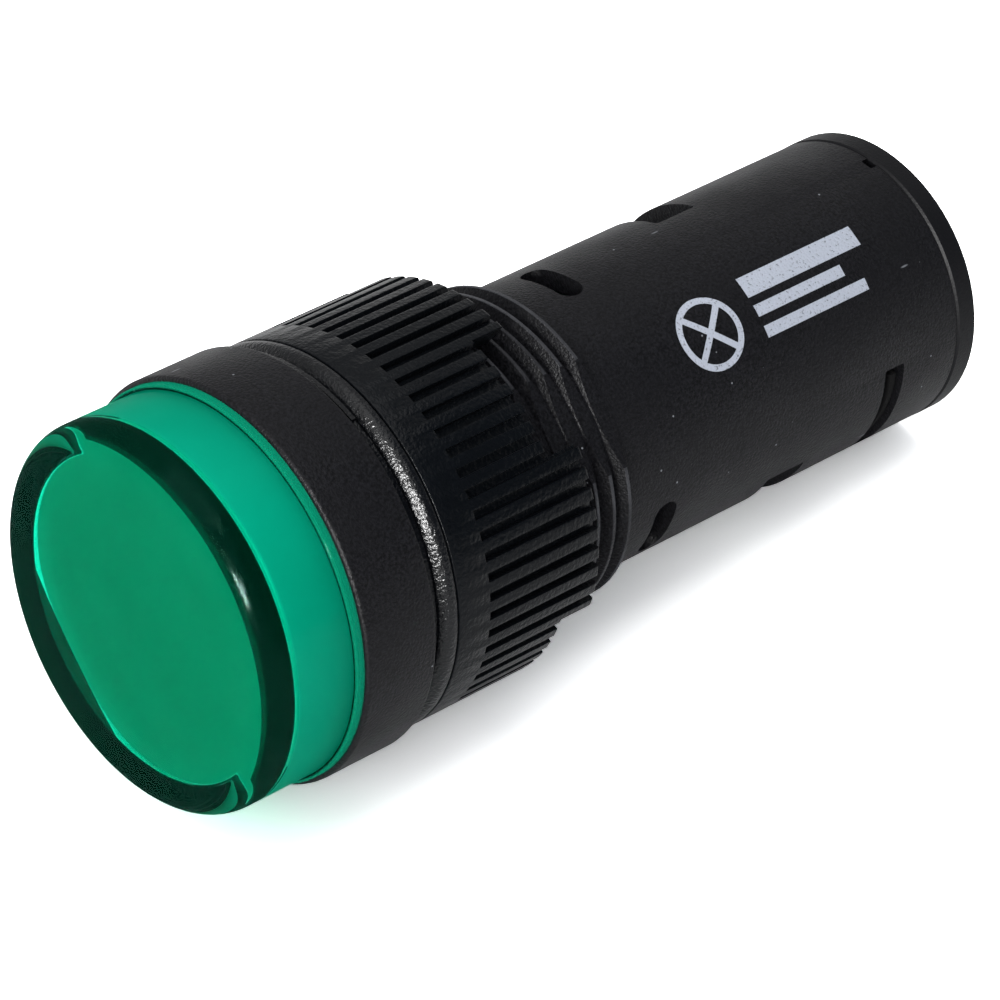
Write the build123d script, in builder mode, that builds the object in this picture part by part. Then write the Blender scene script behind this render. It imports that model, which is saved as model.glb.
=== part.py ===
"""Panel signal lamp with a 16 mm threaded barrel.

The lamp's axis lies along Y. The lens looks towards -Y, and the origin is the centre of the
bezel's back face, where the lamp seats on its panel. All sizes are in millimetres. The barrel
is plain, at the crest of its thread.
"""

import os
from math import radians, sin

from build123d import *

# Roll of the lamp about its axis, from +X towards +Z
key_turn = 41.0
nut_turn = 56.0

# Barrel, in a 16 mm panel hole, and the tube behind it
thread_diameter = 16.0
thread_end = 14.35
thread_lead = 0.4
flat_depth = 0.53
tube_step = 0.65
tube_wall = 1.0
tube_end = 36.5

# Bezel and the pocket in its front
bezel_overhang = 2.0
bezel_thickness = 4.1
bezel_edge = 0.2
bezel_wall = 1.0
pocket_floor = 1.2

# Vent slots behind the thread, then windows and the index notch set out from the tube's end
vent_setback = 2.65
vent_length = 3.7
vent_width = 1.4
vent_spread = 61.0
window_setback = 10.75
window_length = 2.5
window_width = 6.0
latch_setback = 4.4
latch_window_length = 1.3
latch_window_width = 5.8
latch_lag = 59.0
index_turn = 44.5
index_width = 0.7
index_depth = 0.5

# Lens and diffuser
lens_setback = 0.47
lens_front = 5.4
lens_edge = 1.2
lens_plate = 2.1
lens_collar_setback = 0.25
lens_collar_thickness = 0.45
spigot_clearance = 0.05
spigot_wall = 0.85
diffuser_clearance = 0.1
diffuser_wall = 0.8
diffuser_gap = 0.1

# Panel seal, lying loose on the barrel
seal_gap = 0.25
seal_thickness = 1.1
seal_bore_clearance = 0.35
seal_rest_clearance = 0.05
seal_setback = 0.85
seal_shift_turn = 64.0
seal_nub_width = 1.6
seal_nub_height = 0.3
seal_nub_turn = 29.0

# Ring nut
nut_gap = 0.3
nut_setback = 0.325
nut_band = 1.85
nut_length = 8.65
nut_running_clearance = 0.05
nut_front_round = 0.8
nut_rear_chamfer = 0.15
rib_count = 60
groove_width = 0.46
groove_depth = 0.42
notch_count = 4
notch_span = 38.0
notch_depth = 1.95
notch_lead = 1.3

# Light board and its sources
board_thickness = 1.0
light_board_clearance = 0.15
led_count = 6
led_margin = 1.0
led_side = 2.0
led_height = 0.9
led_chamfer = 0.25

# Driver board and what stands on it
driver_clearance = 0.25
driver_gap = 2.2
driver_in_slot = 0.4
pin_side = 0.5
pin_spacing = 5.08
pin_overlap = 3.0
pin_clearance = 0.1
pin_proud = 0.3
component_gap = 1.35
component_clearance = 0.85
rectifier_length = 4.8
rectifier_width = 3.9
rectifier_height = 2.4
rectifier_chamfer = 0.25
capacitor_groove = 0.25
capacitor_crimp = 1.0
varistor_thickness = 2.0
varistor_chamfer = 0.4
resistor_count = 2
resistor_length = 6.3
resistor_width = 3.2
resistor_height = 0.6
resistor_cap = 0.7
resistor_cap_wall = 0.08

# Terminal block
flange_proud = 0.025
flange_thickness = 1.35
flange_edge = 0.2
seam_chamfer = 0.12
plug_clearance = 0.1
well_wall = 0.65
well_depth = 6.0
barrier_width = 1.4
hole_reserve = 0.3
hole_floor = 0.45
board_slot_depth = 0.6
slot_clearance = 0.1
latch_tooth_length = 0.9
latch_tooth_span = 36.0
latch_tooth_reach = 0.3

# Terminals
plate_thickness = 0.8
plate_clearance = 0.1
tail_width = 1.0
tail_thickness = 0.5
tail_margin = 0.1
tail_overlap = 3.5
washer_clearance = 0.1
washer_room = 0.6
washer_gap = 0.3
washer_thickness = 0.6
head_gap = 0.05
head_setback = 0.15
head_height = 1.3
head_edge = 0.3
head_overlap = 0.75
driver_slot_width = 0.6
driver_slot_depth = 0.7
shank_length = 4.4
shank_clearance = 0.05
screw_tip_chamfer = 0.3

# Diameters that follow from the barrel
flat_distance = thread_diameter / 2 - flat_depth
tube_diameter = thread_diameter - 2 * tube_step
tube_bore = tube_diameter - 2 * tube_wall
bezel_diameter = thread_diameter + 2 * bezel_overhang
pocket_diameter = bezel_diameter - 2 * bezel_wall
lens_diameter = bezel_diameter - 2 * lens_setback
lens_collar_diameter = bezel_diameter - 2 * lens_collar_setback
spigot_radius = pocket_diameter / 2 - spigot_clearance
lens_bore = 2 * (spigot_radius - spigot_wall)
diffuser_radius = lens_bore / 2 - diffuser_clearance
seal_bore = thread_diameter + 2 * seal_bore_clearance
seal_diameter = bezel_diameter - 2 * seal_setback
nut_bore = thread_diameter + 2 * nut_running_clearance
nut_diameter = bezel_diameter - 2 * nut_setback
plug_radius = tube_bore / 2 - plug_clearance
well_radius = plug_radius - well_wall
flange_diameter = tube_diameter + 2 * flange_proud

# Places along the axis
bezel_front = -bezel_thickness
lens_face = bezel_front - lens_front
board_front = -pocket_floor - board_thickness
vent_position = thread_end + vent_setback
window_position = tube_end - window_setback
latch_position = tube_end - latch_setback
nut_front = seal_gap + seal_thickness + nut_gap
nut_rear = nut_front + nut_length
flange_end = tube_end + flange_thickness
well_floor = flange_end - well_depth
plate_top = well_floor + plate_thickness
washer_top = plate_top + washer_gap + washer_thickness
shank_tip = washer_top + head_gap - shank_length
block_front = shank_tip - hole_reserve - hole_floor - board_slot_depth
driver_front = driver_gap - pocket_floor
driver_rear = block_front + driver_in_slot
components_front = driver_front + pin_overlap + component_gap
components_rear = block_front - tail_overlap - component_gap

os.makedirs("parts", exist_ok=True)


def outward(turn):
    """Direction square to the axis, at turn degrees from +X towards +Z."""
    return Vector(1, 0, 0).rotate(Axis.Y, -turn)


def across(y, turn=key_turn):
    """Plane square to the axis at y, facing the rear, with its local X pointing outward(turn)."""
    return Plane(origin=(0, y, 0), x_dir=outward(turn), z_dir=(0, 1, 0))


def facing(y, turn, distance=0.0):
    """Plane facing outward(turn) at y and at a distance from the axis, local X along the axis."""
    return Plane(origin=Vector(0, y, 0) + outward(turn) * distance, x_dir=(0, 1, 0), z_dir=outward(turn))


def beside(turn):
    """Plane through the axis with local X along it and local Y pointing outward(turn)."""
    return Plane(origin=(0, 0, 0), x_dir=(0, 1, 0), z_dir=Vector(0, 1, 0).cross(outward(turn)))


def save(piece, name):
    """Label a finished piece and write it to its own file."""
    piece.part.label = name
    export_step(piece.part, f"parts/{name}.step")


# Housing: bezel, barrel and tube in one moulding
with BuildPart() as housing:
    with BuildSketch() as housing_profile:
        with BuildLine():
            Polyline(
                (tube_bore / 2, -pocket_floor),
                (pocket_diameter / 2, -pocket_floor),
                (pocket_diameter / 2, bezel_front),
                (bezel_diameter / 2, bezel_front),
                (bezel_diameter / 2, 0),
                (thread_diameter / 2, 0),
                (thread_diameter / 2, thread_end - thread_lead),
                (thread_diameter / 2 - thread_lead, thread_end),
                (tube_diameter / 2, thread_end),
                (tube_diameter / 2, tube_end),
                (tube_bore / 2, tube_end),
                close=True,
            )
        make_face()
        bezel_corners = housing_profile.vertices().group_by(Axis.X)[-1]
        chamfer(bezel_corners, length=bezel_edge)
        tube_corner = housing_profile.vertices().group_by(Axis.Y)[-1].sort_by(Axis.X)[-1]
        chamfer(tube_corner, length=seam_chamfer)
    revolve(axis=Axis.Y)
    # Two flats down the barrel, which keep the lamp from turning in its panel
    for turn in (key_turn, key_turn + 180):
        with BuildSketch(facing(thread_end / 2, turn, flat_distance)):
            Rectangle(thread_end, thread_diameter)
        extrude(amount=thread_diameter, mode=Mode.SUBTRACT)
    # Vent slots behind the thread
    for turn in (key_turn + vent_spread, key_turn - vent_spread, key_turn + 180):
        with BuildSketch(facing(vent_position, turn)):
            SlotOverall(vent_length, vent_width, rotation=90)
        extrude(amount=tube_diameter, mode=Mode.SUBTRACT)
    # Side windows over the driver board
    for turn in (key_turn + 90, key_turn - 90):
        with BuildSketch(facing(window_position, turn)):
            Rectangle(window_length, window_width)
        extrude(amount=tube_diameter, mode=Mode.SUBTRACT)
    # Windows for the terminal block's latches
    for turn in (key_turn - latch_lag, key_turn - latch_lag + 180):
        with BuildSketch(facing(latch_position, turn)):
            Rectangle(latch_window_length, latch_window_width)
        extrude(amount=tube_diameter, mode=Mode.SUBTRACT)
    # Index notch in the tube's end
    with BuildSketch(facing(tube_end, key_turn + index_turn)):
        Rectangle(2 * index_depth, index_width)
    extrude(amount=tube_diameter, mode=Mode.SUBTRACT)
save(housing, "housing")

# Lens: clear cap with a thick front, a collar on the bezel and a spigot in its pocket
with BuildPart() as lens:
    with BuildSketch() as lens_profile:
        with BuildLine():
            Polyline(
                (0, lens_face),
                (lens_diameter / 2, lens_face),
                (lens_diameter / 2, bezel_front - lens_collar_thickness),
                (lens_collar_diameter / 2, bezel_front - lens_collar_thickness),
                (lens_collar_diameter / 2, bezel_front),
                (spigot_radius, bezel_front),
                (spigot_radius, board_front),
                (lens_bore / 2, board_front),
                (lens_bore / 2, lens_face + lens_plate),
                (0, lens_face + lens_plate),
                close=True,
            )
        make_face()
        front_corner = lens_profile.vertices().group_by(Axis.Y)[0].sort_by(Axis.X)[-1]
        fillet(front_corner, radius=lens_edge)
    revolve(axis=Axis.Y)
save(lens, "lens")

# Diffuser: satin cup behind the lens plate, its rim on the light board
diffuser_face = lens_face + lens_plate + diffuser_gap
with BuildPart() as diffuser:
    with BuildSketch():
        with BuildLine():
            Polyline(
                (0, diffuser_face),
                (diffuser_radius, diffuser_face),
                (diffuser_radius, board_front),
                (diffuser_radius - diffuser_wall, board_front),
                (diffuser_radius - diffuser_wall, diffuser_face + diffuser_wall),
                (0, diffuser_face + diffuser_wall),
                close=True,
            )
        make_face()
    revolve(axis=Axis.Y)
save(diffuser, "diffuser")

# Panel seal: flat ring with a moulding nub on its rim, hanging to one side of the barrel
seal_shift = seal_bore_clearance - seal_rest_clearance
with BuildPart() as panel_seal:
    seal_centre = outward(key_turn + seal_shift_turn) * seal_shift + Vector(0, seal_gap, 0)
    with BuildSketch(Plane(origin=seal_centre, x_dir=outward(key_turn + seal_nub_turn), z_dir=(0, 1, 0))):
        Circle(seal_diameter / 2)
        with Locations((seal_diameter / 2, 0)):
            SlotOverall(seal_nub_width, 2 * seal_nub_height, rotation=90)
        Circle(seal_bore / 2, mode=Mode.SUBTRACT)
    extrude(amount=seal_thickness)
save(panel_seal, "panel_seal")

# Ring nut: smooth rounded band, ribbed grip and long tabs at the rear
with BuildPart() as ring_nut:
    with BuildSketch() as nut_profile:
        with BuildLine():
            Polyline(
                (nut_bore / 2, nut_front),
                (nut_diameter / 2, nut_front),
                (nut_diameter / 2, nut_rear),
                (nut_bore / 2, nut_rear),
                close=True,
            )
        make_face()
        fillet(nut_profile.vertices().group_by(Axis.Y)[0].sort_by(Axis.X)[-1], radius=nut_front_round)
        chamfer(nut_profile.vertices().group_by(Axis.Y)[-1].sort_by(Axis.X)[-1], length=nut_rear_chamfer)
    revolve(axis=Axis.Y)
    with BuildSketch(across(nut_front + nut_band, nut_turn)):
        with PolarLocations(nut_diameter / 2, rib_count):
            Rectangle(2 * groove_depth, groove_width)
    extrude(amount=nut_length, mode=Mode.SUBTRACT)
    notch_width = nut_diameter * sin(radians(notch_span / 2))
    with BuildSketch(across(nut_rear - notch_depth, nut_turn + notch_lead)):
        with PolarLocations(nut_diameter / 2, notch_count):
            Rectangle(2 * (nut_diameter - nut_bore), notch_width)
    extrude(amount=nut_length, mode=Mode.SUBTRACT)
save(ring_nut, "ring_nut")

# Light board, with two holes for the link pins
pin_centre = board_thickness / 2 + pin_side / 2
with BuildPart() as led_board:
    with BuildSketch(across(board_front)):
        Circle(pocket_diameter / 2 - light_board_clearance)
        with Locations((pin_centre, -pin_spacing / 2), (pin_centre, pin_spacing / 2)):
            Rectangle(pin_side + 2 * pin_clearance, pin_side + 2 * pin_clearance, mode=Mode.SUBTRACT)
    extrude(amount=board_thickness)
save(led_board, "led_board")

# Light sources in a ring inside the diffuser's wall
led_distance = diffuser_radius - diffuser_wall - led_margin - led_side / 2
for number in range(led_count):
    led_turn = key_turn + (number + 0.5) * 360 / led_count
    with BuildPart() as led:
        with BuildSketch(across(board_front - led_height, led_turn)):
            with Locations((led_distance, 0)):
                Rectangle(led_side, led_side)
        extrude(amount=led_height)
        chamfer(led.faces().sort_by(Axis.Y)[0].edges(), length=led_chamfer)
    save(led, f"led_{number + 1}")

# Driver board down the middle of the tube
with BuildPart() as driver_board:
    with BuildSketch(across(driver_front)):
        Rectangle(board_thickness, tube_bore - 2 * driver_clearance)
    extrude(amount=driver_rear - driver_front)
save(driver_board, "driver_board")

# Link pins from the light board to the driver board
for number, side in enumerate((-1, 1), start=1):
    with BuildPart() as link_pin:
        with BuildSketch(across(board_front - pin_proud)):
            with Locations((pin_centre, side * pin_spacing / 2)):
                Rectangle(pin_side, pin_side)
        extrude(amount=driver_front + pin_overlap - board_front + pin_proud)
    save(link_pin, f"link_pin_{number}")

# Bridge rectifier, flat on the board
rectifier_position = components_front + rectifier_length / 2
with BuildPart() as rectifier:
    with BuildSketch(facing(rectifier_position, key_turn, board_thickness / 2)):
        Rectangle(rectifier_length, rectifier_width)
    extrude(amount=rectifier_height)
    rectifier_top = rectifier.faces().sort_by(Axis((0, 0, 0), outward(key_turn)))[-1]
    chamfer(rectifier_top.edges(), length=rectifier_chamfer)
save(rectifier, "rectifier")

# Varistor: disc standing across the board near its rear end
round_part_radius = (tube_bore / 2 - board_thickness / 2 - component_clearance) / 2
round_part_height = board_thickness / 2 + round_part_radius
varistor_front = components_rear - varistor_thickness
with BuildPart() as varistor:
    with BuildSketch(across(varistor_front)):
        with Locations((round_part_height, 0)):
            Circle(round_part_radius)
    extrude(amount=varistor_thickness)
    chamfer(varistor.edges().filter_by(GeomType.CIRCLE), length=varistor_chamfer)
save(varistor, "varistor")

# Smoothing capacitor, lying along the board between the rectifier and the varistor
capacitor_front = components_front + rectifier_length + component_gap
with BuildPart() as capacitor:
    with BuildSketch(across(capacitor_front)):
        with Locations((round_part_height, 0)):
            Circle(round_part_radius)
    extrude(amount=varistor_front - component_gap - capacitor_front)
    # Crimp round the can near its leads
    with BuildSketch(across(capacitor_front + capacitor_crimp)):
        with Locations((round_part_height, 0)):
            Circle(round_part_radius)
            Circle(round_part_radius - capacitor_groove, mode=Mode.SUBTRACT)
    extrude(amount=2 * capacitor_groove, mode=Mode.SUBTRACT)
save(capacitor, "capacitor")

# Dropper resistors on the board's other face: a flat chip body with wrapped end caps
for number in range(resistor_count):
    resistor_position = components_front + resistor_length / 2 + number * (resistor_length + component_gap)
    with BuildPart() as resistor:
        with BuildSketch(facing(resistor_position, key_turn + 180, board_thickness / 2 + resistor_cap_wall)):
            Rectangle(resistor_length, resistor_width)
        extrude(amount=resistor_height)
        cap_centre = (resistor_length - resistor_cap) / 2 + resistor_cap_wall
        with BuildSketch(facing(resistor_position, key_turn + 180, board_thickness / 2)):
            with Locations((-cap_centre, 0), (cap_centre, 0)):
                Rectangle(resistor_cap, resistor_width)
        extrude(amount=resistor_height + 2 * resistor_cap_wall)
    save(resistor, f"resistor_{number + 1}")

# Sizes that the terminals take from the room in their wells
washer_diameter = well_radius - barrier_width / 2 - washer_clearance - washer_room
terminal_offset = barrier_width / 2 + washer_clearance + washer_diameter / 2
head_diameter = washer_diameter - 2 * head_setback
shank_radius = head_diameter / 2 - head_overlap
screw_hole_radius = shank_radius + shank_clearance
tail_centre = board_thickness / 2 + tail_thickness / 2
tail_offset = well_radius - plate_clearance - tail_margin - tail_width / 2

# Terminal block: flange, plug in the tube, two wells with a barrier, and latch teeth
with BuildPart() as terminal_block:
    with BuildSketch(across(block_front)):
        Circle(plug_radius)
    extrude(amount=tube_end - block_front)
    with BuildSketch(across(tube_end)):
        Circle(flange_diameter / 2)
    extrude(amount=flange_thickness)
    rim = terminal_block.edges().filter_by(GeomType.CIRCLE).group_by(SortBy.RADIUS)[-1].sort_by(Axis.Y)
    chamfer(rim[-1], length=flange_edge)
    chamfer(terminal_block.edges().filter_by(GeomType.CIRCLE).group_by(SortBy.RADIUS)[-1].sort_by(Axis.Y)[0],
            length=seam_chamfer)
    # Wells for the terminals, parted by the barrier
    with BuildSketch(across(well_floor)):
        Circle(well_radius)
        Rectangle(2 * well_radius, barrier_width, mode=Mode.SUBTRACT)
    extrude(amount=well_depth, mode=Mode.SUBTRACT)
    # Screw holes in the well floors
    with BuildSketch(across(well_floor)):
        with Locations((0, -terminal_offset), (0, terminal_offset)):
            Circle(screw_hole_radius)
    extrude(amount=-(well_floor - shank_tip + hole_reserve), mode=Mode.SUBTRACT)
    # Slots for the plates' tails and for the driver board's edge
    with BuildSketch(across(block_front)):
        with Locations((tail_centre, -tail_offset), (tail_centre, tail_offset)):
            Rectangle(tail_thickness + 2 * slot_clearance, tail_width + 2 * slot_clearance)
    extrude(amount=well_floor - block_front, mode=Mode.SUBTRACT)
    with BuildSketch(across(block_front)):
        Rectangle(board_thickness + 2 * slot_clearance, tube_bore)
    extrude(amount=board_slot_depth, mode=Mode.SUBTRACT)
    # Latch teeth, ramped towards the front
    tooth_front = latch_position - latch_tooth_length / 2
    tooth_rear = latch_position + latch_tooth_length / 2
    tooth_top = tube_diameter / 2 - latch_tooth_reach
    for turn in (key_turn - latch_lag, key_turn - latch_lag + 180):
        with BuildSketch(beside(turn + latch_tooth_span / 2)):
            with BuildLine():
                Polyline(
                    (tooth_front, plug_radius - plug_clearance),
                    (tooth_rear, plug_radius - plug_clearance),
                    (tooth_rear, tooth_top),
                    (tooth_rear - latch_tooth_length / 3, tooth_top),
                    (tooth_front, plug_radius + plug_clearance),
                    close=True,
                )
            make_face()
        revolve(axis=Axis.Y, revolution_arc=latch_tooth_span)
save(terminal_block, "terminal_block")

# Terminals: plate with its tail, clamp washer and screw, one set in each well
for number, side in enumerate((-1, 1), start=1):
    with BuildPart() as terminal_plate:
        with BuildSketch(across(well_floor)):
            Circle(well_radius - plate_clearance)
            with Locations((0, side * (barrier_width / 2 + plate_clearance - well_radius))):
                Rectangle(2 * well_radius, 2 * well_radius, mode=Mode.SUBTRACT)
            with Locations((0, side * terminal_offset)):
                Circle(screw_hole_radius, mode=Mode.SUBTRACT)
        extrude(amount=plate_thickness)
        with BuildSketch(across(block_front - tail_overlap)):
            with Locations((tail_centre, side * tail_offset)):
                Rectangle(tail_thickness, tail_width)
        extrude(amount=plate_top - block_front + tail_overlap)
    save(terminal_plate, f"terminal_plate_{number}")

    with BuildPart() as clamp_washer:
        with BuildSketch(across(washer_top - washer_thickness)):
            with Locations((0, side * terminal_offset)):
                Circle(washer_diameter / 2)
                Circle(screw_hole_radius, mode=Mode.SUBTRACT)
        extrude(amount=washer_thickness)
    save(clamp_washer, f"clamp_washer_{number}")

    with BuildPart() as terminal_screw:
        with BuildSketch(across(washer_top + head_gap)):
            with Locations((0, side * terminal_offset)):
                Circle(head_diameter / 2)
        extrude(amount=head_height)
        chamfer(terminal_screw.faces().sort_by(Axis.Y)[-1].edges(), length=head_edge)
        with BuildSketch(across(washer_top + head_gap)):
            with Locations((0, side * terminal_offset)):
                Circle(shank_radius)
        extrude(amount=-shank_length)
        chamfer(terminal_screw.faces().sort_by(Axis.Y)[0].edges(), length=screw_tip_chamfer)
        with BuildSketch(across(washer_top + head_gap + head_height)):
            with Locations((0, side * terminal_offset)):
                Rectangle(head_diameter, driver_slot_width)
        extrude(amount=-driver_slot_depth, mode=Mode.SUBTRACT)
    save(terminal_screw, f"terminal_screw_{number}")
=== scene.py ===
from math import cos, pi, radians, sin

import bmesh
import bpy
from mathutils import Matrix, Vector


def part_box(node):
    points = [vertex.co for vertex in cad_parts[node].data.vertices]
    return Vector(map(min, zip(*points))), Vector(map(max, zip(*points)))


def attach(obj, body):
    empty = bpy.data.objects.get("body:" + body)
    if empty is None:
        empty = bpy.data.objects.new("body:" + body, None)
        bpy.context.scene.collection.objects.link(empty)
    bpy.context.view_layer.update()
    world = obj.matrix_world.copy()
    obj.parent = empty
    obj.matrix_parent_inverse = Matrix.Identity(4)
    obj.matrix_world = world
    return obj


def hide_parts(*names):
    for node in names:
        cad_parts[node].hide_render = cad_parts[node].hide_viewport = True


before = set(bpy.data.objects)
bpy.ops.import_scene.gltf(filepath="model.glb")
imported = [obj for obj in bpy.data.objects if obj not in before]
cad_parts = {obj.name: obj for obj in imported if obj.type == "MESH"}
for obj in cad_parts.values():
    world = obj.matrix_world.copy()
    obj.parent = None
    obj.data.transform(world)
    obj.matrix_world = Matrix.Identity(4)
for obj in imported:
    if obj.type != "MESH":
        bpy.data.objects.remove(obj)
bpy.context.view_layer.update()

mm = 0.001

# ---- Housing ---------------------------------------------------------------------------------
# Bezel, threaded barrel and tube in one injection moulding of black ABS with a spark-eroded
# grain. Two flats cut the barrel's 16 x 1 thread, side cores in the tool open the vents and
# windows, and the marks on the tube are pad-printed.

key_turn = 41
bezel_radius, bezel_front, bezel_edge = 10.0, -4.1, 0.2
pocket_radius, pocket_floor = 9.0, -1.2
thread_root, thread_crest, thread_pitch, thread_end = 7.4, 8.0, 1.0, 14.35
flat_distance = 7.47
tube_radius, tube_bore_radius, tube_end = 7.35, 6.35, 36.5


def turned(outline, rounds, steps=192):
    """Ring turned about the lamp's axis. outline holds its corners as (radius, y) in mm, and
    rounds gives a corner's rounding as (radius, segments)."""
    shape = bmesh.new()
    corners = [shape.verts.new((radius, y, 0)) for radius, y in outline]
    shape.faces.new(corners)
    for corner, (radius, segments) in rounds.items():
        bmesh.ops.bevel(shape, geom=[corners[corner]], offset=radius, offset_type="OFFSET",
                        affect="VERTICES", segments=segments, profile=0.5, material=-1)
    on_axis = [edge for edge in shape.edges if all(vert.co.x < 1e-6 for vert in edge.verts)]
    bmesh.ops.delete(shape, geom=shape.faces[:], context="FACES_ONLY")
    bmesh.ops.delete(shape, geom=on_axis, context="EDGES")
    bmesh.ops.spin(shape, geom=shape.verts[:] + shape.edges[:], cent=(0, 0, 0), axis=(0, 1, 0),
                   angle=2 * pi, steps=steps, use_merge=True)
    return shape


def blank(name, shape):
    """Close a shape's seams and poles, face it outward and give it an object, still in mm."""
    bmesh.ops.remove_doubles(shape, verts=shape.verts, dist=1e-4)
    bmesh.ops.recalc_face_normals(shape, faces=shape.faces)
    mesh = bpy.data.meshes.new(name)
    shape.to_mesh(mesh)
    shape.free()
    piece = bpy.data.objects.new(name, mesh)
    bpy.context.scene.collection.objects.link(piece)
    return piece


def applied(piece):
    """Replace a piece's mesh by what its modifiers make of it."""
    worked = piece.evaluated_get(bpy.context.evaluated_depsgraph_get())
    mesh = bpy.data.meshes.new_from_object(worked)
    piece.modifiers.clear()
    piece.data = mesh
    return piece


def joined(piece, tool, operation="DIFFERENCE"):
    """Cut a piece with a tool, or weld the tool on with operation UNION; discard the tool."""
    step = piece.modifiers.new("joined", "BOOLEAN")
    step.solver, step.operation, step.object = "EXACT", operation, tool
    applied(piece)
    bpy.data.objects.remove(tool)
    return piece


def finished(piece, finish, body, crease=32):
    """Bring a piece from mm to metres, smooth all but its sharp edges, put it on its body."""
    piece.data.transform(Matrix.Scale(mm, 4))
    piece.data.shade_smooth()
    piece.data.set_sharp_from_angle(angle=radians(crease))
    piece.data.materials.clear()
    piece.data.materials.append(finish)
    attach(piece, body)
    return piece


def swung(shape, turn, verts=None):
    """Swing a shape, or some of its vertices, to a turn in degrees from +X towards +Z."""
    bmesh.ops.rotate(shape, cent=(0, 0, 0), matrix=Matrix.Rotation(-radians(turn), 3, "Y"),
                     verts=verts or shape.verts)


def add_block(shape, y, turn, inner, outer, length, width, corner=0.0):
    """Add a block that runs from inner to outer radius at a turn, with its length along the
    axis, its width round it, and its corners rounded as seen from outside."""
    block = bmesh.ops.create_cube(shape, size=1)["verts"]
    bmesh.ops.scale(shape, vec=(outer - inner, length, width), verts=block)
    if corner:
        radial = {edge for vert in block for edge in vert.link_edges
                  if abs(edge.verts[0].co.x - edge.verts[1].co.x) > 1e-6}
        block = bmesh.ops.bevel(shape, geom=list(radial), offset=corner, affect="EDGES",
                                segments=8, profile=0.5, material=-1)["verts"]
    bmesh.ops.translate(shape, vec=((inner + outer) / 2, y, 0), verts=block)
    swung(shape, turn, block)


# The thread's ridge, a 60 degree form wound right-handed, with the two flats cut from it
thread_start, thread_start_turn, thread_turns, turn_steps = 0.67, 62, 13.3, 96
ridge_foot, foot_half, crest_half = 7.3, 0.47, 0.07
ridge = bmesh.new()
ridge_form = [ridge.verts.new((radius, thread_start + y, 0))
              for radius, y in ((ridge_foot, -foot_half), (thread_crest, -crest_half),
                                (thread_crest, crest_half), (ridge_foot, foot_half))]
ridge.faces.new(ridge_form)
swung(ridge, thread_start_turn)
bmesh.ops.spin(ridge, geom=ridge.verts[:] + ridge.edges[:] + ridge.faces[:], cent=(0, 0, 0),
               axis=(0, 1, 0), angle=thread_turns * 2 * pi,
               steps=int(thread_turns * turn_steps), dvec=(0, thread_pitch / turn_steps, 0))
cut_outer = 12
flats = bmesh.new()
for turn in (key_turn, key_turn + 180):
    add_block(flats, 7, turn, flat_distance, cut_outer, length=30, width=20)
housing_thread = joined(blank("thread", ridge), blank("flats", flats))

housing = blank("housing_moulding", turned(
    [(tube_bore_radius, pocket_floor), (pocket_radius, pocket_floor),
     (pocket_radius, bezel_front), (bezel_radius, bezel_front), (bezel_radius, 0),
     (thread_root, 0), (thread_root, thread_end), (tube_radius, thread_end),
     (tube_radius, tube_end), (tube_bore_radius, tube_end)],
    {2: (0.1, 2), 3: (bezel_edge, 4), 4: (bezel_edge, 4), 8: (0.15, 3), 9: (0.1, 2)}))
joined(housing, housing_thread, "UNION")

# What is open in the tube's wall: y, length, width, corner, and the turns past the key's flat
vents = (17.0, 1.4, 3.7, 0.69, (61, -61, 180))
side_windows = (25.75, 2.5, 6.0, 0.15, (90, -90))
latch_windows = (32.1, 1.3, 5.8, 0.15, (-59, 121))
index_notch = (37.0, 2.0, 0.7, 0.1, (44.5,))
cut_inner = 4
openings = bmesh.new()
for y, length, width, corner, turns in (vents, side_windows, latch_windows, index_notch):
    for turn in turns:
        add_block(openings, y, key_turn + turn, cut_inner, cut_outer, length, width, corner)
joined(housing, blank("openings", openings))


def linear(code):
    """Linear colour for a shader, from an sRGB hex code."""
    parts = [int(code[place:place + 2], 16) / 255 for place in (1, 3, 5)]
    return [part / 12.92 if part <= 0.04045 else ((part + 0.055) / 1.055) ** 2.4
            for part in parts] + [1]


def new_finish(name):
    """Material for one real finish, and the shader that its output already reads."""
    finish = bpy.data.materials.new(name)
    finish.use_nodes = True
    return finish, finish.node_tree.nodes["Principled BSDF"]


def add(finish, kind, settings=None, **inputs):
    """Add a node to a finish. Inputs are values, or other nodes' outputs to be linked; a socket
    is named with _ for a space, or by its number as s0, s1 and so on."""
    tree = finish.node_tree
    new = tree.nodes.new("ShaderNode" + kind)
    for name, value in (settings or {}).items():
        setattr(new, name, value)
    join(finish, new, **inputs)
    return new


def join(finish, node, **inputs):
    """Set a node's inputs, as add does."""
    for name, value in inputs.items():
        numbered = name[1:].isdigit()
        socket = node.inputs[int(name[1:]) if numbered else name.replace("_", " ")]
        if isinstance(value, bpy.types.NodeSocket):
            finish.node_tree.links.new(value, socket)
        else:
            socket.default_value = value


# Black ABS off a spark-eroded tool: the grain scatters the light, so it looks charcoal and
# matt. Real grain is 0.05 mm; it is drawn at 0.14 mm, which is as fine as the picture shows.
abs_black, shader = new_finish("black ABS, spark-eroded grain")
place = add(abs_black, "TexCoord").outputs["Object"]
grain = add(abs_black, "TexNoise", Vector=place, Scale=1 / (0.14 * mm), Detail=2.0,
            Roughness=0.6)
clouds = add(abs_black, "TexNoise", Vector=place, Scale=1 / (4 * mm), Detail=4.0)
sand = add(abs_black, "MapRange", Value=grain.outputs["Fac"], s1=0.36, s2=0.64, s3=0.0, s4=1.0)
pits = add(abs_black, "Mix", {"data_type": "RGBA"}, s0=sand.outputs["Result"],
           s6=linear("#020203"), s7=linear("#222226"))
tone = add(abs_black, "Mix", {"data_type": "RGBA"}, s0=clouds.outputs["Fac"],
           s6=pits.outputs["Result"], s7=linear("#121215"))
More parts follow.
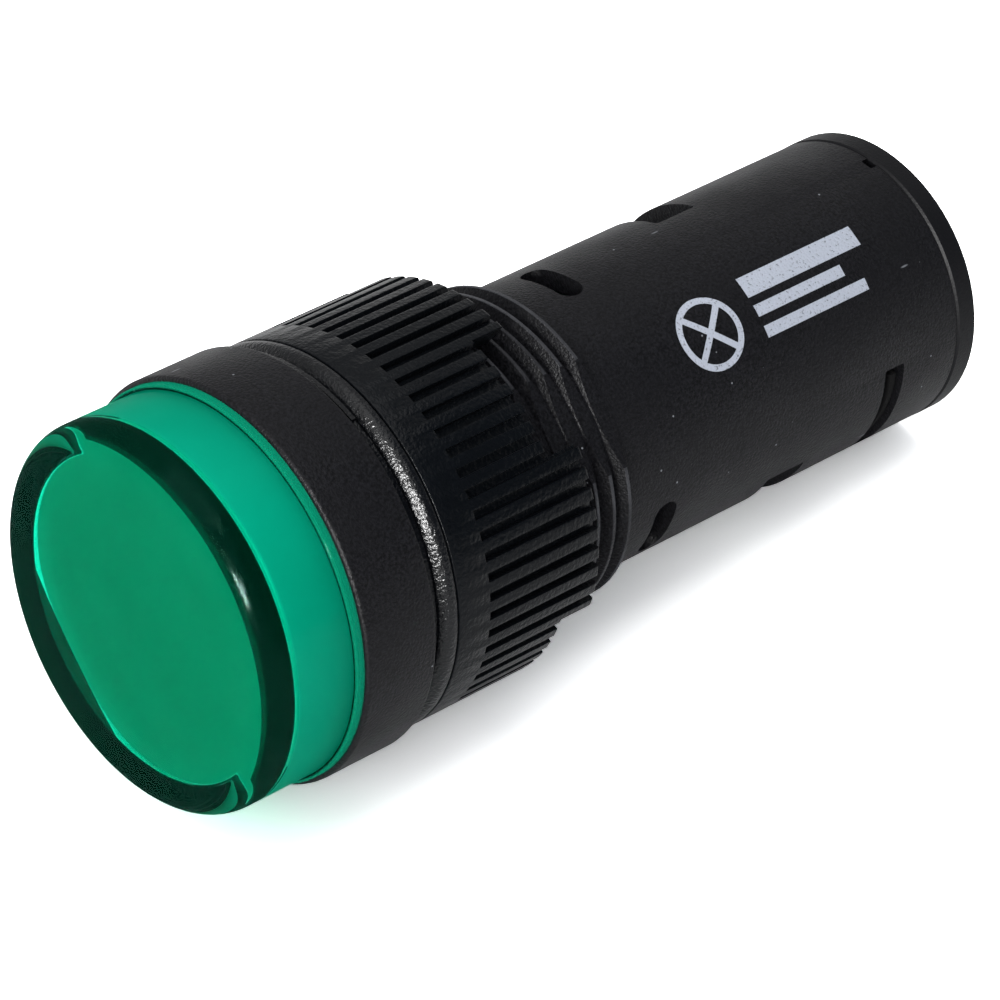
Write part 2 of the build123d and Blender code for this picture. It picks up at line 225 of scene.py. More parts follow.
# Dust: pale specks of about 0.1 mm, in one of four cells of 0.9 mm
specks = add(abs_black, "TexVoronoi", Vector=place, Scale=1 / (0.9 * mm), Randomness=1.0)
speck_size = add(abs_black, "MapRange", Value=specks.outputs["Distance"],
                 s1=0.070, s2=0.040, s3=0.0, s4=1.0)
speck_pick = add(abs_black, "SeparateColor", Color=specks.outputs["Color"])
speck_some = add(abs_black, "Math", {"operation": "LESS_THAN"},
                 s0=speck_pick.outputs["Red"], s1=0.25)
speck = add(abs_black, "Math", {"operation": "MULTIPLY"}, s0=speck_size.outputs["Result"],
            s1=speck_some.outputs["Value"])
dusted = add(abs_black, "Mix", {"data_type": "RGBA"}, s0=speck.outputs["Value"],
             s6=tone.outputs["Result"], s7=linear("#8f9298"))
# Painted highlight on the thread: the crests, at 8 mm from the axis, get a thin pale line of
# uneven strength that stands in for the light they catch
axes = add(abs_black, "SeparateXYZ", Vector=place)
across = add(abs_black, "CombineXYZ", X=axes.outputs["X"], Y=axes.outputs["Z"])
radius = add(abs_black, "VectorMath", {"operation": "LENGTH"}, s0=across.outputs["Vector"])
crest = add(abs_black, "Math", {"operation": "COMPARE"}, s0=radius.outputs["Value"],
            s1=(thread_crest + 0.02) * mm, s2=0.06 * mm)
crest_highlight_patches = add(abs_black, "MapRange", Value=clouds.outputs["Fac"],
              s1=0.4, s2=0.65, s3=0.25, s4=1.0)
painted_crest_highlight = add(abs_black, "Math", {"operation": "MULTIPLY"}, s0=crest.outputs["Value"],
             s1=crest_highlight_patches.outputs["Result"])
crest_highlighted = add(abs_black, "Mix", {"data_type": "RGBA"}, s0=painted_crest_highlight.outputs["Value"],
           s6=dusted.outputs["Result"], s7=linear("#47484c"))

# Pad-printed marks on the tube: a lamp symbol and three bars, laid out round the tube by
# their turn and along it by y, in pale ink with tiny gaps where the grain shows through
symbol_y, symbol_turn, symbol_radius, line = 21.6, 50, 1.7, 0.17
bars = ((60, 24.6, 32.2, 0.55), (50, 24.6, 30.4, 0.3), (41.5, 24.6, 31.4, 0.3))
symbol_around = radians(symbol_turn) * tube_radius
turn_at = add(abs_black, "Math", {"operation": "ARCTAN2"},
              s0=axes.outputs["Z"], s1=axes.outputs["X"])
around = add(abs_black, "Math", {"operation": "MULTIPLY"}, s0=turn_at.outputs["Value"],
             s1=tube_radius * mm)
unrolled = add(abs_black, "CombineXYZ", X=axes.outputs["Y"], Y=around.outputs["Value"])
from_middle = add(abs_black, "VectorMath", {"operation": "DISTANCE"},
                  s0=unrolled.outputs["Vector"], s1=(symbol_y * mm, symbol_around * mm, 0))
rising = add(abs_black, "Math", {"operation": "SUBTRACT"},
             s0=axes.outputs["Y"], s1=around.outputs["Value"])
falling = add(abs_black, "Math", {"operation": "ADD"},
              s0=axes.outputs["Y"], s1=around.outputs["Value"])
# A mark is where two measures both lie within a reach of a middle, in mm
in_symbol = (from_middle.outputs["Value"], 0, symbol_radius)
ring = ((from_middle.outputs["Value"], symbol_radius, line),) * 2
strokes = [((way.outputs["Value"], middle, 1.4 * line), in_symbol)
           for way, middle in ((rising, symbol_y - symbol_around),
                               (falling, symbol_y + symbol_around))]
bar_marks = [((axes.outputs["Y"], (bar_from + bar_to) / 2, (bar_to - bar_from) / 2),
              (around.outputs["Value"], radians(bar_turn) * tube_radius, bar_reach))
             for bar_turn, bar_from, bar_to, bar_reach in bars]
marks = 0.0
for tests in [ring, *strokes, *bar_marks]:
    within = [add(abs_black, "Math", {"operation": "COMPARE"}, s0=measure, s1=middle * mm,
                  s2=reach * mm).outputs["Value"] for measure, middle, reach in tests]
    mark = add(abs_black, "Math", {"operation": "MULTIPLY"}, s0=within[0], s1=within[1])
    marks = add(abs_black, "Math", {"operation": "MAXIMUM"}, s0=marks,
                s1=mark.outputs["Value"]).outputs["Value"]
outside = add(abs_black, "Math", {"operation": "GREATER_THAN"},
              s0=radius.outputs["Value"], s1=7.2 * mm)
ink_cover = add(abs_black, "MapRange", Value=grain.outputs["Fac"],
                s1=0.30, s2=0.42, s3=0.35, s4=1.0)
ink = add(abs_black, "Math", {"operation": "MULTIPLY"}, s0=marks, s1=outside.outputs["Value"])
ink = add(abs_black, "Math", {"operation": "MULTIPLY"}, s0=ink.outputs["Value"],
          s1=ink_cover.outputs["Result"])
printed = add(abs_black, "Mix", {"data_type": "RGBA"}, s0=ink.outputs["Value"],
              s6=crest_highlighted.outputs["Result"], s7=linear("#b9bfcc"))

# Lint and scratches: a few pale dashes, 0.1 mm wide and 0.5 mm long, one to some 12 square mm
leaning = add(abs_black, "Mapping", Vector=place, Rotation=(0.5, 0.9, 0.35), Scale=(1, 0.2, 1))
lint = add(abs_black, "TexVoronoi", Vector=leaning.outputs["Vector"], Scale=1 / (1.3 * mm),
           Randomness=1.0)
lint_size = add(abs_black, "MapRange", Value=lint.outputs["Distance"],
                s1=0.05, s2=0.03, s3=0.0, s4=0.8)
lint_pick = add(abs_black, "SeparateColor", Color=lint.outputs["Color"])
lint_some = add(abs_black, "Math", {"operation": "LESS_THAN"},
                s0=lint_pick.outputs["Green"], s1=0.3)
dash = add(abs_black, "Math", {"operation": "MULTIPLY"}, s0=lint_size.outputs["Result"],
           s1=lint_some.outputs["Value"])
scratched = add(abs_black, "Mix", {"data_type": "RGBA"}, s0=dash.outputs["Value"],
                s6=printed.outputs["Result"], s7=linear("#83868c"))
relief = add(abs_black, "Bump", Strength=0.9, Distance=0.06 * mm, Height=grain.outputs["Fac"])
uneven = add(abs_black, "MapRange", Value=clouds.outputs["Fac"],
             s1=0.3, s2=0.7, s3=0.40, s4=0.50)
join(abs_black, shader, Base_Color=scratched.outputs["Result"],
     Roughness=uneven.outputs["Result"], Normal=relief.outputs["Normal"], IOR=1.5,
     Specular_IOR_Level=0.09)

finished(housing, abs_black, "housing")
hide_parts("housing")

# ---- Light board -----------------------------------------------------------------------------
# A round glass-epoxy board with green solder resist in the bezel's pocket, and six
# surface-mounted LEDs of yellow phosphor on it, reflow-soldered.


def dress(finish, *names):
    """Give CAD nodes a finish in the slot that they already have."""
    for name in names:
        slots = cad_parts[name].data.materials
        if not slots:
            slots.append(finish)
        for index in range(len(slots)):
            slots[index] = finish


# Green glass-epoxy board: a satin resist over a weave, drawn at 0.8 mm where the real one
# has 0.4 mm, so that it shows
board_green, shader = new_finish("glass-epoxy board, green resist")
place = add(board_green, "TexCoord").outputs["Object"]
weave = add(board_green, "TexWave", {"wave_type": "BANDS", "bands_direction": "DIAGONAL"},
            Vector=place, Scale=1 / (0.8 * mm), Distortion=1.5, Detail=2.0)
resist = add(board_green, "Mix", {"data_type": "RGBA"}, s0=weave.outputs["Fac"],
             s6=linear("#0f4a2c"), s7=linear("#17603a"))
relief = add(board_green, "Bump", Strength=0.2, Distance=0.02 * mm, Height=weave.outputs["Fac"])
join(board_green, shader, Base_Color=resist.outputs["Result"], Roughness=0.35,
     Normal=relief.outputs["Normal"])
dress(board_green, "led_board", "driver_board")

# Phosphor window of an LED: matt pale yellow, with paler patches
phosphor, shader = new_finish("LED phosphor in white epoxy")
place = add(phosphor, "TexCoord").outputs["Object"]
mottle = add(phosphor, "TexNoise", Vector=place, Scale=1 / (0.3 * mm), Detail=2.0)
window = add(phosphor, "Mix", {"data_type": "RGBA"}, s0=mottle.outputs["Fac"],
             s6=linear("#e9e2a8"), s7=linear("#f3efd2"))
join(phosphor, shader, Base_Color=window.outputs["Result"], Roughness=0.5)
dress(phosphor, *[f"led_{number}" for number in range(1, 7)])

# ---- Driver board's parts --------------------------------------------------------------------
# Bridge rectifier, smoothing capacitor, varistor and two flat resistors, soldered to the
# driver board, and two square pins of tinned brass that join it to the light board.

# Black epoxy moulding compound: fine matt sand finish
epoxy_black, shader = new_finish("black epoxy, moulded matt")
place = add(epoxy_black, "TexCoord").outputs["Object"]
sand = add(epoxy_black, "TexNoise", Vector=place, Scale=1 / (0.12 * mm), Detail=2.0)
sandy = add(epoxy_black, "Mix", {"data_type": "RGBA"}, s0=sand.outputs["Fac"],
            s6=linear("#1a1a1b"), s7=linear("#2b2b2d"))
relief = add(epoxy_black, "Bump", Strength=0.3, Distance=0.02 * mm, Height=sand.outputs["Fac"])
join(epoxy_black, shader, Base_Color=sandy.outputs["Result"], Roughness=0.6,
     Normal=relief.outputs["Normal"])
dress(epoxy_black, "rectifier")

# Shrunk PVC sleeve: dark blue and glossy, with slight draw lines along the can
sleeve_blue, shader = new_finish("capacitor sleeve, shrunk PVC")
place = add(sleeve_blue, "TexCoord").outputs["Object"]
along = add(sleeve_blue, "Mapping", Vector=place, Scale=(1, 0.1, 1))
draw = add(sleeve_blue, "TexNoise", Vector=along.outputs["Vector"], Scale=1 / (0.4 * mm),
           Detail=2.0)
blue = add(sleeve_blue, "Mix", {"data_type": "RGBA"}, s0=draw.outputs["Fac"],
           s6=linear("#14233f"), s7=linear("#1c3158"))
relief = add(sleeve_blue, "Bump", Strength=0.2, Distance=0.02 * mm, Height=draw.outputs["Fac"])
join(sleeve_blue, shader, Base_Color=blue.outputs["Result"], Roughness=0.25,
     Normal=relief.outputs["Normal"])
dress(sleeve_blue, "capacitor")

# Dipped epoxy coat of a varistor: rounded blue lacquer with a lumpy surface
dip_coat, shader = new_finish("varistor coat, dipped epoxy")
place = add(dip_coat, "TexCoord").outputs["Object"]
lumps = add(dip_coat, "TexNoise", Vector=place, Scale=1 / (0.7 * mm), Detail=2.0)
coat = add(dip_coat, "Mix", {"data_type": "RGBA"}, s0=lumps.outputs["Fac"],
           s6=linear("#1d4f9c"), s7=linear("#2a62b4"))
relief = add(dip_coat, "Bump", Strength=0.3, Distance=0.05 * mm, Height=lumps.outputs["Fac"])
join(dip_coat, shader, Base_Color=coat.outputs["Result"], Roughness=0.35,
     Normal=relief.outputs["Normal"])
dress(dip_coat, "varistor")

# Glazed chip resistor: near-black glaze, slightly wavy
chip_glaze, shader = new_finish("chip resistor, glazed ceramic")
place = add(chip_glaze, "TexCoord").outputs["Object"]
waves = add(chip_glaze, "TexNoise", Vector=place, Scale=1 / (0.5 * mm), Detail=1.0)
glaze = add(chip_glaze, "Mix", {"data_type": "RGBA"}, s0=waves.outputs["Fac"],
            s6=linear("#191b1e"), s7=linear("#24272b"))
relief = add(chip_glaze, "Bump", Strength=0.2, Distance=0.02 * mm, Height=waves.outputs["Fac"])
join(chip_glaze, shader, Base_Color=glaze.outputs["Result"], Roughness=0.3,
     Normal=relief.outputs["Normal"])
dress(chip_glaze, "resistor_1", "resistor_2")

# Tinned brass pin: bright grey metal, dulled in patches by flux
tinned, shader = new_finish("tinned brass")
place = add(tinned, "TexCoord").outputs["Object"]
flux = add(tinned, "TexNoise", Vector=place, Scale=1 / (0.5 * mm), Detail=3.0)
tin = add(tinned, "Mix", {"data_type": "RGBA"}, s0=flux.outputs["Fac"],
          s6=linear("#a9abad"), s7=linear("#c9cbcc"))
dull = add(tinned, "MapRange", Value=flux.outputs["Fac"], s1=0.3, s2=0.7, s3=0.25, s4=0.45)
join(tinned, shader, Base_Color=tin.outputs["Result"], Metallic=1.0,
     Roughness=dull.outputs["Result"])
dress(tinned, "link_pin_1", "link_pin_2")

# ---- Diffuser --------------------------------------------------------------------------------
# A thin cup of opal polycarbonate that fills the lens's bore, its rim standing on the light
# board. Its satin front is the even disc that shows through the lens.

diffuser_radius, diffuser_face, diffuser_rim = 8.12, -7.3, -2.2
diffuser_bore_radius, diffuser_floor = 7.2, -6.5
diffuser = blank("diffuser_cup", turned(
    [(0, diffuser_face), (diffuser_radius, diffuser_face), (diffuser_radius, diffuser_rim),
     (diffuser_bore_radius, diffuser_rim), (diffuser_bore_radius, diffuser_floor),
     (0, diffuser_floor)],
    {1: (0.25, 4), 2: (0.1, 2), 4: (0.2, 3)}))

# Opal polycarbonate: milky white right through, with a satin skin
opal, shader = new_finish("opal polycarbonate, satin")
place = add(opal, "TexCoord").outputs["Object"]
milk = add(opal, "TexNoise", Vector=place, Scale=1 / (3 * mm), Detail=3.0)
milky = add(opal, "Mix", {"data_type": "RGBA"}, s0=milk.outputs["Fac"],
            s6=linear("#e4e8e4"), s7=linear("#fbfcfa"))
join(opal, shader, Base_Color=milky.outputs["Result"], Roughness=0.5)
finished(diffuser, opal, "housing")
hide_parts("diffuser")

# ---- Lens ------------------------------------------------------------------------------------
# A cap of clear green polycarbonate with a thick flat front and a large rounded edge. A thin
# collar seats on the bezel and its spigot snaps into the bezel's pocket.

lens_radius, lens_face, lens_plate_back, lens_edge = 9.53, -9.5, -7.4, 1.2
lens_bore_radius, spigot_radius, collar_radius, collar_front = 8.1, 8.95, 9.75, -4.55
lens = blank("lens_cap", turned(
    [(0, lens_face), (lens_radius, lens_face), (lens_radius, collar_front),
     (collar_radius, collar_front), (collar_radius, bezel_front), (spigot_radius, bezel_front),
     (spigot_radius, diffuser_rim), (lens_bore_radius, diffuser_rim),
     (lens_bore_radius, lens_plate_back), (0, lens_plate_back)],
    {1: (lens_edge, 16), 3: (0.1, 3), 6: (0.1, 2), 8: (0.15, 3)}, steps=256))

# Clear green polycarbonate: the colour lies in its depth, so thick edges go nearly black
clear_green, shader = new_finish("clear green polycarbonate")
place = add(clear_green, "TexCoord").outputs["Object"]
ripple = add(clear_green, "TexNoise", Vector=place, Scale=1 / (6 * mm), Detail=1.0)
relief = add(clear_green, "Bump", Strength=0.15, Distance=0.03 * mm,
             Height=ripple.outputs["Fac"])
clear_green.node_tree.nodes.remove(shader)
bent = add(clear_green, "BsdfRefraction", Color=linear("#fafffd"), Roughness=0.0, IOR=1.58,
           Normal=relief.outputs["Normal"])
shine = add(clear_green, "BsdfGlossy", Color=linear("#c8f2e6"), Roughness=0.03,
            Normal=relief.outputs["Normal"])
mirrored = add(clear_green, "Fresnel", IOR=1.58, Normal=relief.outputs["Normal"])
# The picture's light is polarised, so the face mirrors a twelfth of what it would
polarised = add(clear_green, "Math", {"operation": "MULTIPLY"}, s0=mirrored.outputs["Fac"],
                s1=0.08)
glassy = add(clear_green, "MixShader", s0=polarised.outputs["Value"],
             s1=bent.outputs["BSDF"], s2=shine.outputs["BSDF"])
# The plastic is a little hazy, and on the collar's edge a green diffuse shade is mixed in at
# half strength: a painted glow that stands in for the light the plastic carries there
axes = add(clear_green, "SeparateXYZ", Vector=place)
across = add(clear_green, "CombineXYZ", X=axes.outputs["X"], Y=axes.outputs["Z"])
radius = add(clear_green, "VectorMath", {"operation": "LENGTH"}, s0=across.outputs["Vector"])
haze_and_painted_glow = add(clear_green, "MapRange", Value=radius.outputs["Value"],
            s1=9.60 * mm, s2=9.66 * mm, s3=0.025, s4=0.5)
haze_and_glow_bsdf = add(clear_green, "BsdfDiffuse", Color=linear("#10b48a"))
hazy_with_painted_glow = add(clear_green, "MixShader", s0=haze_and_painted_glow.outputs["Result"], s1=glassy.outputs["Shader"],
           s2=haze_and_glow_bsdf.outputs["BSDF"])
# Lamps shine straight through to the diffuser, as they do through the real lens
rays = add(clear_green, "LightPath")
lamp_ray = add(clear_green, "Math", {"operation": "MAXIMUM"},
               s0=rays.outputs["Is Shadow Ray"], s1=rays.outputs["Is Diffuse Ray"])
open_way = add(clear_green, "BsdfTransparent", Color=linear("#f4fff9"))
lens_surface = add(clear_green, "MixShader", s0=lamp_ray.outputs["Value"],
                   s1=hazy_with_painted_glow.outputs["Shader"], s2=open_way.outputs["BSDF"])
# A millimetre of the plastic keeps an eighth of the red, three quarters of the green and two
# thirds of the blue
depth = add(clear_green, "VolumeAbsorption", Color=(0.0, 0.86, 0.80, 1.0), Density=2000.0)
join(clear_green, clear_green.node_tree.nodes["Material Output"],
     Surface=lens_surface.outputs["Shader"], Volume=depth.outputs["Volume"])
finished(lens, clear_green, "housing")
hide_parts("lens")

# ---- Panel seal ------------------------------------------------------------------------------
# A moulded ring of black nitrile rubber, loose on the barrel behind the bezel. A bead with a
# sloped front runs round it, and for part of the way a thin lip stands out before the bead.

seal_bore_radius, seal_neck_radius, seal_bead_radius = 8.35, 9.15, 9.66
seal_front, bead_front, seal_back, bead_slope = 0.3, 0.74, 1.62, 0.42
seal = blank("seal_ring", turned(
    [(seal_bore_radius, seal_front), (seal_neck_radius, seal_front),
     (seal_neck_radius, bead_front), (seal_bead_radius - bead_slope, bead_front),
     (seal_bead_radius, bead_front + bead_slope), (seal_bead_radius, seal_back),
     (seal_bore_radius, seal_back)],
    {0: (0.1, 2), 3: (0.05, 2), 4: (0.2, 5), 5: (0.15, 3), 6: (0.1, 2)}))
lip_inner, lip_outer, lip_front, lip_back, lip_turn, lip_span = 9.1, 9.6, 0.26, 0.5, 70, 100
lip = bmesh.new()
lip_form = [lip.verts.new((radius, y, 0))
            for radius, y in ((lip_inner, lip_front), (lip_outer, lip_front),
                              (lip_outer, lip_back), (lip_inner, lip_back))]
lip.faces.new(lip_form)
swung(lip, lip_turn)
bmesh.ops.spin(lip, geom=lip.verts[:] + lip.edges[:] + lip.faces[:], cent=(0, 0, 0),
               axis=(0, -1, 0), angle=radians(lip_span), steps=60)
joined(seal, blank("lip", lip), "UNION")

# Nitrile rubber: soft black with a dull bloom, and a fine pebbled skin that breaks up gloss
rubber, shader = new_finish("black nitrile rubber")
place = add(rubber, "TexCoord").outputs["Object"]
bloom = add(rubber, "TexNoise", Vector=place, Scale=1 / (0.8 * mm), Detail=4.0)
black = add(rubber, "Mix", {"data_type": "RGBA"}, s0=bloom.outputs["Fac"],
            s6=linear("#08090c"), s7=linear("#0e1014"))
skin = add(rubber, "TexNoise", Vector=place, Scale=1 / (0.16 * mm), Detail=2.0)
relief = add(rubber, "Bump", Strength=1.0, Distance=0.06 * mm, Height=skin.outputs["Fac"])
join(rubber, shader, Base_Color=black.outputs["Result"], Roughness=0.28,
     Specular_IOR_Level=0.22, Normal=relief.outputs["Normal"])
finished(seal, rubber, "panel_seal")
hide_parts("panel_seal")

# ---- Ring nut --------------------------------------------------------------------------------
# The nut that clamps the panel, moulded in glossier black nylon: a smooth band at the front,
# sixty ribs for the fingers, and four tabs at the rear between notches for a key.

nut_turn, nut_radius, nut_bore_radius = 56, 9.675, 8.05
nut_front, nut_band_end, nut_rear = 1.65, 3.5, 10.3
rib_count, groove_depth, groove_width = 60, 0.42, 0.46
notch_count, notch_depth, notch_width, notch_lead = 4, 1.95, 6.3, 1.3
nut = blank("nut_moulding", turned(
    [(nut_bore_radius, nut_front), (nut_radius, nut_front), (nut_radius, nut_rear),
     (nut_bore_radius, nut_rear)],
    {0: (0.15, 2), 1: (0.06, 2), 2: (0.15, 3), 3: (0.15, 2)}, steps=240))
cut_length = 10
grooves = bmesh.new()
for number in range(rib_count):
    add_block(grooves, nut_band_end + cut_length / 2, nut_turn + 360 / rib_count * number,
              nut_radius - groove_depth, 11, cut_length, groove_width)
joined(nut, blank("grooves", grooves))
notches = bmesh.new()
for number in range(notch_count):
    add_block(notches, nut_rear - notch_depth + cut_length / 2,
              nut_turn + notch_lead + 360 / notch_count * number,
              6.4, cut_outer, cut_length, notch_width)
joined(nut, blank("notches", notches))
softened = nut.modifiers.new("softened", "BEVEL")
softened.width, softened.segments, softened.limit_method = 0.06, 2, "ANGLE"
softened.angle_limit = radians(40)
applied(nut)

# Moulded nylon: blue-black, with an orange-peel gloss of 0.2 mm from the tool
nylon, shader = new_finish("black nylon, orange-peel gloss")
place = add(nylon, "TexCoord").outputs["Object"]
peel = add(nylon, "TexNoise", Vector=place, Scale=1 / (0.2 * mm), Detail=2.0, Roughness=0.5)
shade = add(nylon, "TexNoise", Vector=place, Scale=1 / (3 * mm), Detail=3.0)
tone = add(nylon, "Mix", {"data_type": "RGBA"}, s0=shade.outputs["Fac"],
           s6=linear("#07090c"), s7=linear("#0c0f13"))
relief = add(nylon, "Bump", Strength=1.0, Distance=0.05 * mm, Height=peel.outputs["Fac"])
join(nylon, shader, Base_Color=tone.outputs["Result"], Roughness=0.3, IOR=1.53,
     Specular_IOR_Level=0.09, Normal=relief.outputs["Normal"])
finished(nut, nylon, "ring_nut")
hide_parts("ring_nut")

# ---- Terminal block --------------------------------------------------------------------------
# The plug that closes the tube, in black glass-filled polyester: a flange, two wells parted by
# a barrier, and two latch teeth that click into the tube's windows.

# Glass-filled polyester: matt charcoal with faint flow marks along the moulding
polyester, shader = new_finish("black glass-filled polyester")
place = add(polyester, "TexCoord").outputs["Object"]
fibres = add(polyester, "TexNoise", Vector=place, Scale=1 / (0.13 * mm), Detail=3.0)
flow = add(polyester, "TexNoise", Vector=place, Scale=1 / (3 * mm), Detail=3.0)
tone = add(polyester, "Mix", {"data_type": "RGBA"}, s0=flow.outputs["Fac"],
           s6=linear("#0b0c0f"), s7=linear("#131316"))
relief = add(polyester, "Bump", Strength=0.6, Distance=0.04 * mm, Height=fibres.outputs["Fac"])
# The latch teeth, the block's widest part ahead of its flange, lie in their windows' shade,
# which is painted on them: near black and matt
axes = add(polyester, "SeparateXYZ", Vector=place)
across = add(polyester, "CombineXYZ", X=axes.outputs["X"], Y=axes.outputs["Z"])
radius = add(polyester, "VectorMath", {"operation": "LENGTH"}, s0=across.outputs["Vector"])
proud = add(polyester, "MapRange", Value=radius.outputs["Value"],
            s1=6.3 * mm, s2=6.45 * mm, s3=0.0, s4=1.0)
ahead = add(polyester, "Math", {"operation": "LESS_THAN"}, s0=axes.outputs["Y"], s1=36 * mm)
painted_tooth_shade = add(polyester, "Math", {"operation": "MULTIPLY"}, s0=proud.outputs["Result"],
            s1=ahead.outputs["Value"])
shaded = add(polyester, "Mix", {"data_type": "RGBA"}, s0=painted_tooth_shade.outputs["Value"],
             s6=tone.outputs["Result"], s7=linear("#020203"))
sheen = add(polyester, "MapRange", Value=painted_tooth_shade.outputs["Value"],
            s1=0.0, s2=1.0, s3=0.5, s4=0.95)
join(polyester, shader, Base_Color=shaded.outputs["Result"],
     Roughness=sheen.outputs["Result"], Specular_IOR_Level=0.1,
     Normal=relief.outputs["Normal"])
dress(polyester, "terminal_block")

# ---- Terminals -------------------------------------------------------------------------------
# In each well a stamped brass plate, and a zinc-plated steel screw with a square-cut washer
# that clamps the wire.

# Stamped brass: yellow metal with fine rolling lines and a dull tarnish
brass, shader = new_finish("stamped brass")
place = add(brass, "TexCoord").outputs["Object"]
rolled = add(brass, "Mapping", Vector=place, Scale=(0.1, 1, 1))
lines = add(brass, "TexNoise", Vector=rolled.outputs["Vector"], Scale=1 / (0.15 * mm),
            Detail=3.0)
yellow = add(brass, "Mix", {"data_type": "RGBA"}, s0=lines.outputs["Fac"],
             s6=linear("#b08a45"), s7=linear("#d0ad66"))
dull = add(brass, "MapRange", Value=lines.outputs["Fac"], s1=0.3, s2=0.7, s3=0.28, s4=0.42)
join(brass, shader, Base_Color=yellow.outputs["Result"], Metallic=1.0,
     Roughness=dull.outputs["Result"])
dress(brass, "terminal_plate_1", "terminal_plate_2")

# Zinc-plated steel: bright grey with a faint blue passivation and handling marks
zinc, shader = new_finish("zinc-plated steel")
place = add(zinc, "TexCoord").outputs["Object"]
handled = add(zinc, "TexNoise", Vector=place, Scale=1 / (0.4 * mm), Detail=4.0)
steel = add(zinc, "Mix", {"data_type": "RGBA"}, s0=handled.outputs["Fac"],
            s6=linear("#a6adb5"), s7=linear("#c6c9cb"))
dull = add(zinc, "MapRange", Value=handled.outputs["Fac"], s1=0.3, s2=0.7, s3=0.22, s4=0.4)
join(zinc, shader, Base_Color=steel.outputs["Result"], Metallic=1.0,
     Roughness=dull.outputs["Result"])
dress(zinc, "clamp_washer_1", "clamp_washer_2", "terminal_screw_1", "terminal_screw_2")

# ---- Floor, light and camera -----------------------------------------------------------------
# The lamp lies on white paper, on the nut's rear edge and the block's flange, in the even
# light of a white tent, with soft lamps above and in front and a small flash by the camera.

nut_box, block_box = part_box("ring_nut"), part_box("terminal_block")
flange_edge, paper_gap = 0.2, 0.01
front_rest = Vector((0, nut_box[1].y, nut_box[0].z))
rear_rest = Vector((0, block_box[1].y - flange_edge * mm, block_box[0].z))
slope = (rear_rest - front_rest).normalized()
floor_up = Vector((1, 0, 0)).cross(slope)
paper = bmesh.new()
bmesh.ops.create_grid(paper, x_segments=1, y_segments=1, size=1.5)
bmesh.ops.rotate(paper, cent=(0, 0, 0), verts=paper.verts,
                 matrix=Vector((0, 0, 1)).rotation_difference(floor_up).to_matrix())
bmesh.ops.translate(paper, vec=front_rest - floor_up * paper_gap * mm, verts=paper.verts)
floor_mesh = bpy.data.meshes.new("floor")
paper.to_mesh(floor_mesh)
paper.free()
floor = bpy.data.objects.new("floor", floor_mesh)
bpy.context.scene.collection.objects.link(floor)
# White paper: 0.85 as a light bounces off it, a little brighter in a gloss, and pure white
# to the camera and through the lens, as the photograph exposes it
white_paper, shader = new_finish("white paper")
rays = add(white_paper, "LightPath")
seen = add(white_paper, "Math", {"operation": "ADD", "use_clamp": True},
           s0=rays.outputs["Is Camera Ray"], s1=rays.outputs["Is Transmission Ray"])
in_gloss = add(white_paper, "Mix", {"data_type": "RGBA"}, s0=rays.outputs["Is Glossy Ray"],
               s6=(0.85, 0.85, 0.85, 1), s7=(1.1, 1.1, 1.1, 1))
sheet = add(white_paper, "Mix", {"data_type": "RGBA"}, s0=seen.outputs["Value"],
            s6=in_gloss.outputs["Result"], s7=(2.5, 2.5, 2.5, 1))
join(white_paper, shader, Base_Color=sheet.outputs["Result"], Roughness=1.0,
     Specular_IOR_Level=0.0)
floor.data.materials.append(white_paper)

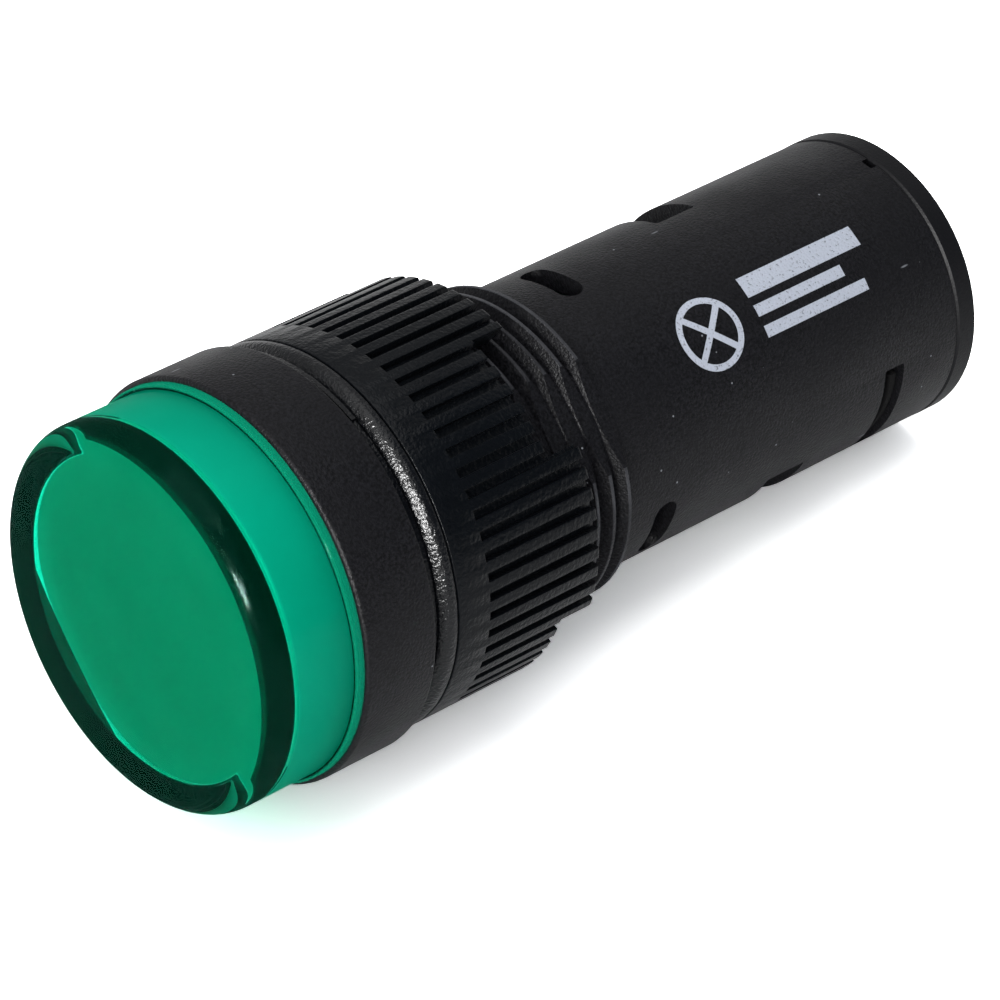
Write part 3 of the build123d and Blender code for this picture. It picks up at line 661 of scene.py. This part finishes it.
# Tent: white low down and greyer overhead. Behind the lamp, to the right, it has a dark gap
# with a blue edge, which is what the near side of the tube and the nut mirror
tent = bpy.data.worlds.new("tent")
tent.use_nodes = True
bpy.context.scene.world = tent
sky = tent.node_tree.nodes["Background"]
direction = add(tent, "TexCoord")
height = add(tent, "SeparateXYZ", Vector=direction.outputs["Generated"])
level = add(tent, "MapRange", Value=height.outputs["Z"], s1=0.0, s2=0.5, s3=0.85, s4=0.6)
towards_gap = add(tent, "VectorMath", {"operation": "DOT_PRODUCT"},
                  s0=direction.outputs["Generated"], s1=(0.70, 0.55, 0.46))
gap = add(tent, "MapRange", {"interpolation_type": "SMOOTHSTEP"},
          Value=towards_gap.outputs["Value"], s1=0.66, s2=0.92, s3=1.0, s4=0.10)
white = add(tent, "Math", {"operation": "MULTIPLY"}, s0=level.outputs["Result"],
            s1=gap.outputs["Result"])
tint = add(tent, "Mix", {"data_type": "RGBA"}, s0=gap.outputs["Result"],
           s6=(0.45, 0.7, 1.0, 1), s7=(1, 1, 1, 1))
join(tent, sky, Color=tint.outputs["Result"], Strength=white.outputs["Value"])


def add_lamp(name, azimuth, elevation, distance, size, watts):
    """Soft square lamp, its azimuth from +X towards +Y, aimed at the middle of the object."""
    lamp = bpy.data.lights.new(name, "AREA")
    lamp.shape, lamp.size, lamp.energy = "SQUARE", size, watts
    lamp_object = bpy.data.objects.new(name, lamp)
    a, e = radians(azimuth), radians(elevation)
    target = Vector((0, 0.014, 0))
    away = Vector((cos(e) * cos(a), cos(e) * sin(a), sin(e)))
    lamp_object.location = target + away * distance
    lamp_object.rotation_euler = away.to_track_quat("Z", "Y").to_euler()
    bpy.context.scene.collection.objects.link(lamp_object)
    return lamp_object


add_lamp("overhead", -90, 84, distance=0.6, size=0.5, watts=1.6)
add_lamp("front", -100, 42, distance=0.45, size=0.3, watts=0.3)
add_lamp("fill", -58, 22, distance=0.45, size=0.3, watts=0.85)
# A small flash seen only as gloss: it draws the streaks on the lens rim and on the seal
flash = add_lamp("beside_camera", -60, 20, distance=0.45, size=0.11, watts=9)
flash.visible_diffuse = flash.visible_transmission = False

camera_lens = bpy.data.cameras.new("camera")
camera_lens.lens, camera_lens.sensor_width = 194.1, 36.0
camera_lens.clip_start, camera_lens.clip_end = 0.01, 10
camera = bpy.data.objects.new("camera", camera_lens)
bpy.context.scene.collection.objects.link(camera)
right, up = Vector((0.67235, 0.73785, 0.05938)), Vector((-0.46715, 0.36071, 0.80725))
view = Matrix((right, up, right.cross(up))).transposed().to_4x4()
view.translation = Vector((0.147193, -0.133063, 0.147466))
camera.matrix_world = view
bpy.context.scene.camera = camera
bpy.context.scene.view_settings.view_transform = "Standard"
